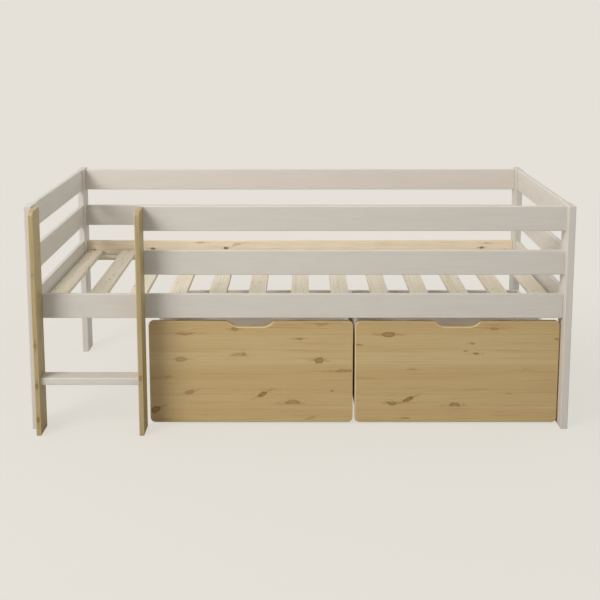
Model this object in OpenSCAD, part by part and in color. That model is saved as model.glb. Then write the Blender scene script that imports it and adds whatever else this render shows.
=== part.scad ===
// Cabin bed: a low raised single bed with railings, a short ladder and two roll-out drawers.
// Millimetres, +Z up, +X along the bed, -Y towards the ladder side.
// The origin is on the floor, under the middle of the box that holds bed and ladder.

/* [Bed frame] */
// Length over the corner posts
bed_length = 2066; // [1900:2:2300]
// Depth over the corner posts, without the ladder
bed_depth = 1000; // [880:2:1300]
// Width of a corner post, along the depth of the bed
post_width = 95; // [84:1:120]
// Thickness of a corner post, along the length of the bed
post_thick = 28; // [26:1:40]
// How far the posts stand above the top side rails
post_above = 5; // [0:1:20]
// Radius of the eased edges of every board
edge_ease = 3; // [1:0.5:4]

/* [Side rails] */
// Height of a side rail board
side_rail_height = 95; // [84:1:120]
// Thickness of a side rail board
side_rail_thick = 18; // [17:1:24]
// How far a side rail lies inside the outer edge of the posts
side_rail_set = 28; // [24:1:36]
// Floor to the underside of the bottom side rails
side_rail_low = 434; // [400:1:520]
// Gap between one side rail and the next
side_rail_gap = 75; // [50:1:90]

/* [End rails] */
// Height of an end rail board
end_rail_height = 95; // [84:1:120]
// Thickness of an end rail board
end_rail_thick = 18; // [14:1:18]
// How far an end rail lies inside the outer face of the posts
end_rail_set = 5; // [2:1:10]
// Gap between one end rail and the next
end_rail_gap = 73; // [50:1:80]

/* [Slat base] */
// Width of the ledge that carries the slats
ledge_width = 32; // [26:1:50]
// Height of the ledge
ledge_height = 15; // [14:1:24]
// Underside of the bottom side rail to the underside of the ledge
ledge_lift = 18; // [8:1:20]
// Number of slats
slat_count = 13; // [10:1:13]
// Width of a slat
slat_width = 70; // [50:1:90]
// Thickness of a slat
slat_thick = 17; // [14:1:24]
// Gap between the left posts and the first slat
slat_first_gap = 4; // [2:1:40]
// Gap between the last slat and the right posts
slat_last_gap = 15; // [2:1:40]
// Extra gap after the sixth slat, where the two rolls of slats meet
slat_roll_gap = 12; // [0:1:30]
// Gap between a slat's end and the side rail
slat_end_gap = 6; // [1:1:12]

/* [Ladder] */
// Clear width between the ladder posts
ladder_clear = 372; // [300:2:480]
// Thickness of a ladder post
ladder_post_thick = 19; // [16:1:26]
// Width of a ladder post, along the depth of the bed
ladder_post_width = 95; // [84:1:120]
// Gap between the ladder and the left corner post, filled by spacer rings
ladder_post_gap = 4; // [2:0.5:8]
// Radius of the rounded front corner at a ladder post's top
ladder_corner = 23; // [8:1:40]
// Depth of the step
step_depth = 71; // [60:1:76]
// Thickness of the step
step_thick = 27; // [20:1:34]
// Floor to the top of the step
step_top = 222; // [180:2:260]
// How far the step lies behind the front edge of the ladder posts
step_set = 18; // [8:1:19]

/* [Drawers] */
// Gap between the two drawer fronts
drawer_gap = 7; // [4:0.5:12]
// Gap between the left drawer front and the ladder
drawer_ladder_gap = 7; // [4:0.5:12]
// Gap between the right drawer front and the corner post
drawer_post_gap = 4; // [3:0.5:12]
// Floor to the underside of the drawer fronts
front_low = 7.5; // [5:0.5:12]
// Gap between the drawer fronts and the bottom side rail above them
front_rail_gap = 17; // [10:1:40]
// Thickness of a drawer front
front_thick = 20; // [18:1:26]
// How far the drawer fronts lie behind the front of the corner posts
front_set = 45; // [30:1:60]
// Corner radius of a drawer front
front_corner = 20; // [6:1:40]
// Width of the hand cut-out at the top edge
hand_top_width = 172; // [140:2:240]
// Width of the flat floor of the hand cut-out
hand_floor_width = 90; // [80:2:120]
// Depth of the hand cut-out
hand_depth = 23; // [15:1:35]

/* [Drawer boxes] */
// How far the front stands out past the box on each side
box_overhang = 7.5; // [4:0.5:20]
// Thickness of the box's sides and back
box_wall = 16; // [14:1:20]
// Floor to the underside of the box's sides
box_low = 15; // [11:1:20]
// Top of the drawer front to the top of the box's sides
box_drop = 68; // [40:1:140]
// Length of the box behind the drawer front
box_length = 671; // [500:1:740]
// Thickness of the bottom panel
bottom_thick = 12; // [10:1:16]
// Depth of the grooves that hold the bottom panel
groove_depth = 6; // [4:0.5:8]
// Depth of the grooves in the front that hold the box's sides
housing_depth = 8; // [5:0.5:12]

/* [Castors] */
// Radius of a castor wheel
wheel_radius = 20; // [15:0.5:22]
// Width of a wheel's tread
wheel_width = 18; // [14:1:22]
// Radius of a castor axle
axle_radius = 3; // [2.5:0.5:4]
// Radial running clearance of a wheel on its axle
axle_clearance = 0.08; // [0.03:0.01:0.1]
// Gap between the tread and the plate above it
plate_gap = 8; // [4:1:12]
// Thickness of the castor's sheet steel
plate_thick = 2; // [1.5:0.5:3]
// Length of the castor plate along the drawer's travel
plate_length = 60; // [52:1:76]
// Width of the castor plate
plate_width = 60; // [56:1:72]
// Box wall to the middle of a castor, across the drawer
castor_inset_x = 60; // [45:1:120]
// Front panel or box back to the middle of a castor, along the travel
castor_inset_y = 70; // [50:1:120]

/* [Fasteners] */
// Radius of the frame bolts
bolt_radius = 3; // [2.5:0.5:4]
// Radius of a bolt head
bolt_head_radius = 7; // [6:0.5:9]
// Height of a bolt head
bolt_head_height = 4; // [3:0.5:5]
// Radius of the barrel nuts
barrel_radius = 5; // [4.5:0.5:6]
// Length of the barrel nuts
barrel_length = 14; // [12:1:15]
// Rail end to the middle of the barrel nut
barrel_inset = 33; // [26:1:50]
// Underside of the rail to the middle of the bolt
bolt_rise = 51; // [44:1:56]
// Radius of the wooden dowels
dowel_radius = 4; // [3:0.5:5]
// Length of the dowels between end rails and posts
end_dowel_length = 50; // [30:2:60]
// Length of the dowels between bottom side rails and posts
rail_dowel_length = 30; // [20:2:40]
// Distance between the two dowels of a joint
dowel_spacing = 68; // [60:1:72]
// Radius of the long screws
long_screw_radius = 3; // [2.5:0.5:3.5]
// Length of the long screws
long_screw_length = 70; // [50:2:90]
// Distance between the two long screws of a side rail's joint
long_screw_spacing = 50; // [30:2:64]
// Distance between the two screws in each end of the step
step_screw_spacing = 40; // [24:2:48]
// Radius of the wood screws
wood_screw_radius = 2.2; // [1.5:0.1:2.5]
// Clearance of a fastener in its hole, on the radius
hole_clearance = 0.1; // [0.05:0.05:0.3]

/* [Hidden] */
$fn = 48;
levels = ["bottom", "middle", "top"];
rows = ["front", "back"];
ends = ["left", "right"];
sides = ["left", "right"];
axles = ["front", "rear"];

// Places along X
half_length = bed_length / 2;
inside_half = half_length - post_thick;
end_rail_x = half_length - end_rail_set - end_rail_thick;
ladder_left = -inside_half + ladder_post_gap;
ladder_right = ladder_left + ladder_clear + 2 * ladder_post_thick;
ladder_right_post = ladder_right - ladder_post_thick;

// Places along Y, counted from the front of the corner posts
side_rail_inner = side_rail_set + side_rail_thick;
side_rail_middle = side_rail_set + side_rail_thick / 2;
ladder_front = side_rail_set - ladder_post_width;
front_back_face = front_set + front_thick;
box_back = front_back_face + box_length;
box_back_inner = box_back - box_wall;
posts_front = -(bed_depth + ladder_front) / 2;

// Heights
function side_rail_z(level) = side_rail_low + level * (side_rail_height + side_rail_gap);
ladder_height = side_rail_z(2) + side_rail_height;
post_height = ladder_height + post_above;
function end_rail_z(level) =
    post_height - end_rail_height - (2 - level) * (end_rail_height + end_rail_gap);
ledge_low = side_rail_low + ledge_lift;
slat_low = ledge_low + ledge_height;
front_top = side_rail_low - front_rail_gap;
box_top = front_top - box_drop;
plate_top = 2 * wheel_radius + plate_gap + plate_thick;
bottom_low = plate_top;
bottom_top = bottom_low + bottom_thick;

// Slats
slat_pitch = (2 * inside_half - slat_first_gap - slat_last_gap - slat_width - slat_roll_gap)
    / (slat_count - 1);
first_roll = 6;
function slat_x(i) =
    -inside_half + slat_first_gap + i * slat_pitch + (i >= first_roll ? slat_roll_gap : 0);
slat_length = bed_depth - 2 * (side_rail_inner + slat_end_gap);

// Drawers
drawer_opening = inside_half - ladder_right;
drawer_width = (drawer_opening - drawer_gap - drawer_ladder_gap - drawer_post_gap) / 2;
box_width = drawer_width - 2 * box_overhang;
box_inner_left = box_overhang + box_wall;
box_inner_width = box_width - 2 * box_wall;
function drawer_x(side) = ladder_right + drawer_ladder_gap
    + (side == "right" ? drawer_width + drawer_gap : 0);
panel_play = 0.2;

// Castors
hub_radius = axle_radius + 4;
hub_proud = 1;
hub_width = wheel_width + 2 * hub_proud;
cheek_play = 0.5;
cheek_gap = hub_width + 2 * cheek_play;
cheek_foot = axle_radius + 4;
castor_xs = [box_inner_left + castor_inset_x,
    box_inner_left + box_inner_width - castor_inset_x];
function castor_y(axle) =
    axle == "front" ? front_back_face + castor_inset_y : box_back_inner - castor_inset_y;
rivet_radius = axle_radius + 1.5;
rivet_height = 1.5;
castor_screw_length = 10;
castor_screw_inset = 6;
corner_screw_length = 40;
corner_screw_count = 3;

// Fasteners
tip_play = 0.5;
wood_head_radius = 2 * wood_screw_radius;
long_head_radius = long_screw_radius + 2.5;
long_head_height = 3;
bolt_z = side_rail_low + bolt_rise;
bolt_end = inside_half - barrel_inset - barrel_radius - 3;
dowel_play = 1;
ladder_screw_length = 50;
ladder_screw_spacing = 32;
side_screw_length = ladder_post_thick + ladder_post_gap + post_thick - 5;
side_screw_y = side_rail_set / 2;
spacer_radius = 8;
ledge_screw_count = 6;
ledge_screw_length = ledge_width + side_rail_thick - 8;
slat_screw_length = slat_thick + ledge_height - 4;

paint = [0.75, 0.72, 0.67];
pine = [0.76, 0.63, 0.42];
raw_pine = [0.85, 0.77, 0.62];
box_finish = [0.66, 0.62, 0.57];
steel = [0.62, 0.63, 0.65];
zinc = [0.74, 0.75, 0.77];
black_plastic = [0.12, 0.12, 0.13];
grey_plastic = [0.55, 0.55, 0.56];

drawer_pieces = ["front", "side_left", "side_right", "back", "bottom",
    "castor_brackets", "castor_axles", "screws"];
function slat_name(i) = str("slat_", i < 10 ? "0" : "", i);

// Moves a piece from the posts' front plane to the shared origin.
module placed() { translate([0, posts_front, 0]) children(); }

// Mirrors a piece made for the right-hand end to the left-hand end where asked.
module at_end(end) {
    if (end == "right") children();
    else mirror([1, 0, 0]) children();
}

// Mirrors a piece made for the front of the bed to the back where asked.
module at_row(row) {
    if (row == "front") children();
    else translate([0, bed_depth, 0]) mirror([0, 1, 0]) children();
}

// Outline of a board's section with eased corners.
function eased(wide, high, radius) = [
    for (corner = [[wide - radius, high - radius, 0], [radius, high - radius, 90],
            [radius, radius, 180], [wide - radius, radius, 270]])
        for (turn = [0 : 30 : 90])
            [corner[0] + radius * cos(corner[2] + turn), corner[1] + radius * sin(corner[2] + turn)]
];

// Boards that run along X, Y and Z, with their low corner at the origin.
module board_x(length, deep, high) {
    rotate([90, 0, 90]) linear_extrude(length) polygon(eased(deep, high, edge_ease));
}
module board_y(wide, length, high) {
    translate([0, length, 0]) rotate([90, 0, 0])
        linear_extrude(length) polygon(eased(wide, high, edge_ease));
}
module board_z(wide, deep, length) {
    linear_extrude(length) polygon(eased(wide, deep, edge_ease));
}

// Fasteners point down from their head, which is flush with z = 0. A fastener's hole is
// the same shape made larger by play on the radius and longer at its tip.
module wood_screw(length, play = 0) {
    tip = play > 0 ? tip_play : 0;
    translate([0, 0, -length - tip]) cylinder(h = length + tip, r = wood_screw_radius + play);
    translate([0, 0, -wood_screw_radius])
        cylinder(h = wood_screw_radius, r1 = wood_screw_radius + play, r2 = wood_head_radius + play);
}
module long_screw(length, play = 0) {
    tip = play > 0 ? tip_play : 0;
    translate([0, 0, -length - tip]) cylinder(h = length + tip, r = long_screw_radius + play);
    translate([0, 0, -long_head_height])
        cylinder(h = long_head_height + tip, r = long_head_radius + play);
}
module dowel(length, play = 0) {
    spare = play > 0 ? dowel_play : 0;
    translate([0, 0, -length / 2 - spare])
        cylinder(h = length + 2 * spare, r = dowel_radius + play);
}

// Joint of a corner post with the bottom side rail, made for the front right corner.
module corner_bolt(play = 0) {
    tip = play > 0 ? tip_play : 0;
    translate([half_length, side_rail_middle, bolt_z]) rotate([0, -90, 0]) {
        translate([0, 0, -tip]) cylinder(h = bolt_head_height + tip, r = bolt_head_radius + play);
        cylinder(h = half_length - bolt_end + tip, r = bolt_radius + play);
    }
}
module corner_barrel_nut(play = 0) {
    tip = play > 0 ? 1 + tip_play : 0;
    inner = side_rail_inner - 1;
    translate([inside_half - barrel_inset, inner + tip, bolt_z]) rotate([90, 0, 0])
        cylinder(h = barrel_length + 2 * tip - (play > 0 ? 1 : 0), r = barrel_radius + play);
}
module corner_rail_dowels(play = 0) {
    for (up = [-0.5, 0.5])
        translate([inside_half, side_rail_middle,
                side_rail_low + side_rail_height / 2 + up * dowel_spacing])
            rotate([0, 90, 0]) dowel(rail_dowel_length, play);
}
// Joint of a corner post with an upper side rail.
module corner_long_screws(level, play = 0) {
    for (up = [-0.5, 0.5])
        translate([half_length, side_rail_middle,
                side_rail_z(level) + side_rail_height / 2 + up * long_screw_spacing])
            rotate([0, 90, 0]) long_screw(long_screw_length, play);
}
// Joint of a corner post with an end rail.
module corner_end_dowels(level, play = 0) {
    for (up = [-0.5, 0.5])
        translate([end_rail_x + end_rail_thick / 2, post_width,
                end_rail_z(level) + end_rail_height / 2 + up * dowel_spacing])
            rotate([90, 0, 0]) dowel(end_dowel_length, play);
}

// Screws through a side rail into the back edge of a ladder post whose middle is at x.
module ladder_rail_screws(x, level, play = 0) {
    for (up = [-0.5, 0.5])
        translate([x, side_rail_inner,
                side_rail_z(level) + side_rail_height / 2 + up * ladder_screw_spacing])
            rotate([-90, 0, 0]) wood_screw(ladder_screw_length, play);
}
// Screws through the left ladder post and its spacer rings into the corner post.
module ladder_side_screws(play = 0) {
    for (level = [1, 2])
        translate([ladder_left + ladder_post_thick, side_screw_y,
                side_rail_z(level) + side_rail_height / 2])
            rotate([0, 90, 0]) wood_screw(side_screw_length, play);
}
// Screws through the ladder posts into the ends of the step.
module step_screws(end, play = 0) {
    x = end == "left" ? ladder_left : ladder_right;
    for (along = [-0.5, 0.5])
        translate([x, ladder_front + step_set + step_depth / 2 + along * step_screw_spacing,
                step_top - step_thick / 2])
            rotate([0, end == "left" ? -90 : 90, 0]) long_screw(long_screw_length, play);
}
ladder_post_middle = [ladder_left + ladder_post_thick / 2,
    ladder_right - ladder_post_thick / 2];

// Screws through a ledge into its bottom side rail, made for the front.
module ledge_screws(play = 0) {
    spacing = 2 * inside_half / ledge_screw_count;
    for (i = [0 : ledge_screw_count - 1])
        translate([-inside_half + (i + 0.5) * spacing, side_rail_inner + ledge_width,
                ledge_low + ledge_height / 2])
            rotate([-90, 0, 0]) wood_screw(ledge_screw_length, play);
}
// Screws through the first and the last slat into the front ledge.
module slat_screws(play = 0) {
    for (i = [0, slat_count - 1])
        translate([slat_x(i) + slat_width / 2, side_rail_inner + ledge_width / 2 + slat_end_gap / 2,
                slat_low + slat_thick])
            wood_screw(slat_screw_length, play);
}

module corner_post(row, end) {
    color(paint) placed() at_row(row) at_end(end) difference() {
        translate([inside_half, 0, 0]) board_z(post_thick, post_width, post_height);
        corner_bolt(hole_clearance);
        corner_rail_dowels(hole_clearance);
        for (level = [0 : 2]) corner_end_dowels(level, hole_clearance);
        if (row == "back" || end == "right")
            for (level = [1, 2]) corner_long_screws(level, hole_clearance);
        else
            mirror([1, 0, 0]) ladder_side_screws(hole_clearance);
    }
}

module end_rail(end, level) {
    color(paint) placed() at_end(end) difference() {
        translate([end_rail_x, post_width, end_rail_z(level)])
            board_y(end_rail_thick, bed_depth - 2 * post_width, end_rail_height);
        for (row = rows) at_row(row) corner_end_dowels(level, hole_clearance);
    }
}

// The front upper rails end at the left face of the right ladder post.
module side_rail(row, level) {
    short = row == "front" && level > 0;
    from = short ? ladder_right_post : -inside_half;
    color(row == "back" && level == 0 ? raw_pine : paint) placed() difference() {
        at_row(row) translate([from, side_rail_set, side_rail_z(level)])
            board_x(inside_half - from, side_rail_thick, side_rail_height);
        at_row(row) for (end = ends) at_end(end) {
            if (level == 0) {
                corner_bolt(hole_clearance);
                corner_barrel_nut(hole_clearance);
                corner_rail_dowels(hole_clearance);
            }
            else if (!short || end == "right") corner_long_screws(level, hole_clearance);
        }
        if (level == 0) at_row(row) ledge_screws(hole_clearance);
        if (row == "front") {
            ladder_rail_screws(ladder_post_middle[1], level, hole_clearance);
            if (level == 0) ladder_rail_screws(ladder_post_middle[0], level, hole_clearance);
        }
    }
}

module slat_ledge(row) {
    color(pine) placed() at_row(row) difference() {
        translate([-inside_half + panel_play, side_rail_inner, ledge_low])
            board_x(2 * (inside_half - panel_play), ledge_width, ledge_height);
        ledge_screws(hole_clearance);
        slat_screws(hole_clearance);
    }
}

module slat(i) {
    color(raw_pine) placed() difference() {
        translate([slat_x(i - 1), side_rail_inner + slat_end_gap, slat_low])
            board_y(slat_width, slat_length, slat_thick);
        if (i == 1 || i == slat_count)
            for (row = rows) at_row(row) slat_screws(hole_clearance);
    }
}

// Side outline of a ladder post, with its front top corner rounded.
ladder_outline = [
    [0, 0], [ladder_post_width, 0], [ladder_post_width, ladder_height],
    for (turn = [90 : 10 : 180])
        [ladder_corner + ladder_corner * cos(turn),
            ladder_height - ladder_corner + ladder_corner * sin(turn)]
];
module ladder_post(end) {
    x = end == "left" ? ladder_left : ladder_right_post;
    color(pine) placed() difference() {
        translate([x, ladder_front, 0]) intersection() {
            board_z(ladder_post_thick, ladder_post_width, ladder_height);
            rotate([90, 0, 90]) linear_extrude(ladder_post_thick) polygon(ladder_outline);
        }
        step_screws(end, hole_clearance);
        if (end == "left") {
            ladder_rail_screws(ladder_post_middle[0], 0, hole_clearance);
            ladder_side_screws(hole_clearance);
        }
        else
            for (level = [0 : 2]) ladder_rail_screws(ladder_post_middle[1], level, hole_clearance);
    }
}

module ladder_step() {
    color(paint) placed() difference() {
        translate([ladder_left + ladder_post_thick, ladder_front + step_set, step_top - step_thick])
            board_x(ladder_clear, step_depth, step_thick);
        for (end = ends) step_screws(end, hole_clearance);
    }
}

module ladder_spacers() {
    color(black_plastic) placed() difference() {
        for (level = [1, 2])
            translate([-inside_half, side_screw_y, side_rail_z(level) + side_rail_height / 2])
                rotate([0, 90, 0]) cylinder(h = ladder_post_gap, r = spacer_radius);
        ladder_side_screws(hole_clearance);
    }
}

module frame_bolts() {
    color(zinc) placed() for (row = rows) for (end = ends) at_row(row) at_end(end) corner_bolt();
}

module barrel_nuts() {
    color(zinc) placed() for (row = rows) for (end = ends) at_row(row) at_end(end) difference() {
        corner_barrel_nut();
        corner_bolt(hole_clearance);
    }
}

module dowels() {
    color(raw_pine) placed() for (row = rows) for (end = ends) at_row(row) at_end(end) {
        corner_rail_dowels();
        for (level = [0 : 2]) corner_end_dowels(level);
    }
}

module long_screws() {
    color(zinc) placed() {
        for (row = rows) for (end = ends)
            if (row == "back" || end == "right")
                at_row(row) at_end(end) for (level = [1, 2]) corner_long_screws(level);
        for (end = ends) step_screws(end);
    }
}

module wood_screws() {
    color(zinc) placed() {
        ladder_rail_screws(ladder_post_middle[0], 0);
        for (level = [0 : 2]) ladder_rail_screws(ladder_post_middle[1], level);
        ladder_side_screws();
        for (row = rows) at_row(row) {
            ledge_screws();
            slat_screws();
        }
    }
}

// Outline of a drawer front seen from the front: rounded corners, and a hand cut-out whose
// ends leave its flat floor in an arc and meet the top edge at an angle.
module drawer_front_outline() {
    high = front_top - front_low;
    run = (hand_top_width - hand_floor_width) / 2;
    arc_turn = 2 * atan(hand_depth / run);
    arc_radius = run / sin(arc_turn);
    floor_end = hand_floor_width / 2;
    middle = drawer_width / 2;
    steps = 10;
    polygon([
        for (corner = [[front_corner, front_corner, 180],
                [drawer_width - front_corner, front_corner, 270],
                [drawer_width - front_corner, high - front_corner, 0]])
            for (turn = [0 : 10 : 90])
                [corner[0] + front_corner * cos(corner[2] + turn),
                    corner[1] + front_corner * sin(corner[2] + turn)],
        for (i = [steps : -1 : 0])
            [middle + floor_end + arc_radius * sin(arc_turn * i / steps),
                high - hand_depth + arc_radius * (1 - cos(arc_turn * i / steps))],
        for (i = [0 : steps])
            [middle - floor_end - arc_radius * sin(arc_turn * i / steps),
                high - hand_depth + arc_radius * (1 - cos(arc_turn * i / steps))],
        for (turn = [0 : 10 : 90])
            [front_corner + front_corner * cos(90 + turn),
                high - front_corner + front_corner * sin(90 + turn)]
    ]);
}

// The bottom panel with its play, as a panel (0) or as the grooves that hold it (1).
module bottom_space(play) {
    reach = groove_depth - (1 - play) * panel_play;
    rise = play * panel_play;
    translate([box_inner_left - reach, front_back_face - reach, bottom_low])
        cube([box_inner_width + 2 * reach, box_back_inner - front_back_face + 2 * reach,
            bottom_thick + rise]);
}
// A box side, as a board (0) or as the groove in the front that holds it (1).
module box_side_space(which, play) {
    x = which == "left" ? box_overhang : box_inner_left + box_inner_width;
    reach = housing_depth - (1 - play) * panel_play;
    spare = play * panel_play;
    translate([x - spare, front_back_face - reach, box_low - spare])
        cube([box_wall + 2 * spare, box_length + reach, box_top - box_low + 2 * spare]);
}
// Screws through the box's sides into its back.
module box_screws(play = 0) {
    spacing = (box_top - bottom_top) / corner_screw_count;
    for (i = [0 : corner_screw_count - 1]) {
        z = bottom_top + (i + 0.5) * spacing;
        translate([box_overhang, box_back - box_wall / 2, z])
            rotate([0, -90, 0]) wood_screw(corner_screw_length, play);
        translate([box_overhang + box_width, box_back - box_wall / 2, z])
            rotate([0, 90, 0]) wood_screw(corner_screw_length, play);
    }
}
// Screws through the castor plates into the bottom panel.
module castor_screws(play = 0) {
    for (x = castor_xs) for (axle = axles)
        for (across = [-1, 1]) for (along = [-1, 1])
            translate([x + across * (plate_width / 2 - castor_screw_inset),
                    castor_y(axle) + along * (plate_length / 2 - castor_screw_inset),
                    plate_top - plate_thick])
                mirror([0, 0, 1]) wood_screw(castor_screw_length, play);
}

module in_drawer(side) { placed() translate([drawer_x(side), 0, 0]) children(); }

module drawer_front() {
    color(pine) difference() {
        translate([0, front_back_face, front_low]) rotate([90, 0, 0])
            linear_extrude(front_thick) drawer_front_outline();
        for (which = sides) box_side_space(which, 1);
        bottom_space(1);
    }
}

module drawer_side(which) {
    color(box_finish) difference() {
        box_side_space(which, 0);
        bottom_space(1);
        box_screws(hole_clearance);
    }
}

module drawer_back() {
    color(box_finish) difference() {
        translate([box_inner_left, box_back_inner, box_low])
            cube([box_inner_width, box_wall, box_top - box_low]);
        bottom_space(1);
        box_screws(hole_clearance);
    }
}

module drawer_bottom() {
    color(raw_pine) difference() {
        bottom_space(0);
        castor_screws(hole_clearance);
    }
}

// Folded sheet steel: a plate and two cheeks that taper down to the axle.
module castor_bracket() {
    cheek_top = plate_top - plate_thick - wheel_radius;
    difference() {
        union() {
            translate([-plate_width / 2, -plate_length / 2, plate_top - plate_thick])
                cube([plate_width, plate_length, plate_thick]);
            for (across = [-1, 1])
                translate([across * (cheek_gap + plate_thick) / 2 - plate_thick / 2, 0,
                        wheel_radius])
                    rotate([90, 0, 90]) linear_extrude(plate_thick) {
                        polygon([[-cheek_foot + 1, 0], [cheek_foot - 1, 0],
                            [plate_length / 3, cheek_top + plate_thick / 2],
                            [-plate_length / 3, cheek_top + plate_thick / 2]]);
                        circle(r = cheek_foot);
                    }
        }
        translate([-plate_width, 0, wheel_radius]) rotate([0, 90, 0])
            cylinder(h = 2 * plate_width, r = axle_radius + axle_clearance / 2);
    }
}
module castor_brackets() {
    color(steel) difference() {
        for (x = castor_xs) for (axle = axles)
            translate([x, castor_y(axle), 0]) castor_bracket();
        castor_screws(hole_clearance);
    }
}

// A riveted axle: a pin through both cheeks with a flat head on each end.
module castor_axle() {
    span = cheek_gap + 2 * plate_thick;
    translate([-span / 2, 0, wheel_radius]) rotate([0, 90, 0]) {
        cylinder(h = span, r = axle_radius);
        translate([0, 0, -rivet_height]) cylinder(h = rivet_height, r = rivet_radius);
        translate([0, 0, span]) cylinder(h = rivet_height, r = rivet_radius);
    }
}
module castor_axles() {
    color(zinc) for (x = castor_xs) for (axle = axles)
        translate([x, castor_y(axle), 0]) castor_axle();
}

// A wheel with a rounded tread, dished sides and a proud hub.
module wheel() {
    tread = wheel_width / 2;
    shoulder = 2.5;
    rim = wheel_radius - 5;
    dish = tread - 3;
    bore = axle_radius + axle_clearance;
    half_profile = [
        [bore, hub_width / 2], [hub_radius, hub_width / 2], [hub_radius, dish], [rim, dish],
        [rim, tread],
        for (turn = [90 : -15 : 0])
            [wheel_radius - shoulder + shoulder * cos(turn), tread - shoulder + shoulder * sin(turn)]
    ];
    count = len(half_profile);
    rotate([0, 90, 0]) rotate_extrude($fn = 96) polygon([
        for (point = half_profile) point,
        for (i = [count - 1 : -1 : 0]) [half_profile[i][0], -half_profile[i][1]]
    ]);
}
module wheel_pair(axle) {
    color(grey_plastic) for (x = castor_xs)
        translate([x, castor_y(axle), wheel_radius]) wheel();
}

module drawer_piece(piece) {
    if (piece == "front") drawer_front();
    if (piece == "side_left") drawer_side("left");
    if (piece == "side_right") drawer_side("right");
    if (piece == "back") drawer_back();
    if (piece == "bottom") drawer_bottom();
    if (piece == "castor_brackets") castor_brackets();
    if (piece == "castor_axles") castor_axles();
    if (piece == "screws") color(zinc) {
        box_screws();
        castor_screws();
    }
}

for (row = rows) for (end = ends)
    corner_post(row, end);
for (end = ends) for (i = [0 : 2])
    end_rail(end, i);
for (row = rows) for (i = [0 : 2])
    side_rail(row, i);
for (row = rows)
    slat_ledge(row);
for (i = [1 : slat_count])
    slat(i);
for (end = ends)
    ladder_post(end);
ladder_step();
ladder_spacers();
frame_bolts();
barrel_nuts();
dowels();
long_screws();
wood_screws();
for (side = sides) for (piece = drawer_pieces)
    in_drawer(side) drawer_piece(piece);
for (side = sides) for (axle = axles)
    in_drawer(side) wheel_pair(axle);
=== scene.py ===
import logging
import math
from dataclasses import dataclass, field
from enum import Enum
from functools import cache

import bmesh
import bpy
import numpy as np
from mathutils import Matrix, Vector


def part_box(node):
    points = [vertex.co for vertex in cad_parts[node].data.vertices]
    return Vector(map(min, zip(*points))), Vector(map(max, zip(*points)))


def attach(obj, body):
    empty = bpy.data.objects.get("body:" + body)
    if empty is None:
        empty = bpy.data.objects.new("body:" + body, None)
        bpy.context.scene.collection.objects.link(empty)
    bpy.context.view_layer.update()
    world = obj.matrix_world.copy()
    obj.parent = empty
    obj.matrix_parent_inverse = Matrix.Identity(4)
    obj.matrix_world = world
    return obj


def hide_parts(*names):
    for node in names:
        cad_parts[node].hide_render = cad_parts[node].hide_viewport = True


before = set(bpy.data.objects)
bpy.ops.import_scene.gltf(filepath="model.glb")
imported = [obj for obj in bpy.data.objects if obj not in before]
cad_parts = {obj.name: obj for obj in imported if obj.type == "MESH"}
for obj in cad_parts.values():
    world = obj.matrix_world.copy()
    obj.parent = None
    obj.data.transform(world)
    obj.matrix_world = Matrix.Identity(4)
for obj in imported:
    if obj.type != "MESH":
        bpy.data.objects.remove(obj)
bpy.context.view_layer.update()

log = logging.getLogger("cabin_bed")

MM = 0.001
WELD = 2e-6  # points of a CAD mesh that lie closer than this are one point
SHARP = math.radians(38)  # steeper edges stay sharp in the shading
NEXT_TREE = (1.7, 0.9, 2.3)  # one step of a pattern's shift, along, across and through, in metres
ENDS = ("left", "right")

Triple = tuple[float, float, float]
Point = tuple[float, float]
Node = bpy.types.Node
Socket = bpy.types.NodeSocket
Tree = bpy.types.NodeTree
Material = bpy.types.Material
Mesh = bpy.types.Mesh
Piece = bpy.types.Object
Shape = bmesh.types.BMesh


# ---------------------------------------------------------------- choices

class Side(Enum):
    """The two drawers, as seen from the front."""

    LEFT = "left"
    RIGHT = "right"


class Grain(Enum):
    """Which way a board's grain runs: the axes along, across and through it."""

    X = ((1, 0, 0), (0, 0, 1), (0, 1, 0))
    Y = ((0, 1, 0), (0, 0, 1), (1, 0, 0))
    Z = ((0, 0, 1), (0, 1, 0), (1, 0, 0))
    X_FLAT = ((1, 0, 0), (0, 1, 0), (0, 0, 1))
    Y_FLAT = ((0, 1, 0), (1, 0, 0), (0, 0, 1))


class Drive(Enum):
    """What the head of a fastener is turned by."""

    CROSS = "cross"
    HEX = "hex"
    SLOT = "slot"


class Cut(Enum):
    """Whether a knot is whole, or cut flat by a glue line below or above it."""

    WHOLE = 0
    BELOW = 1
    ABOVE = -1


# ---------------------------------------------------------------- node bench

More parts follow.
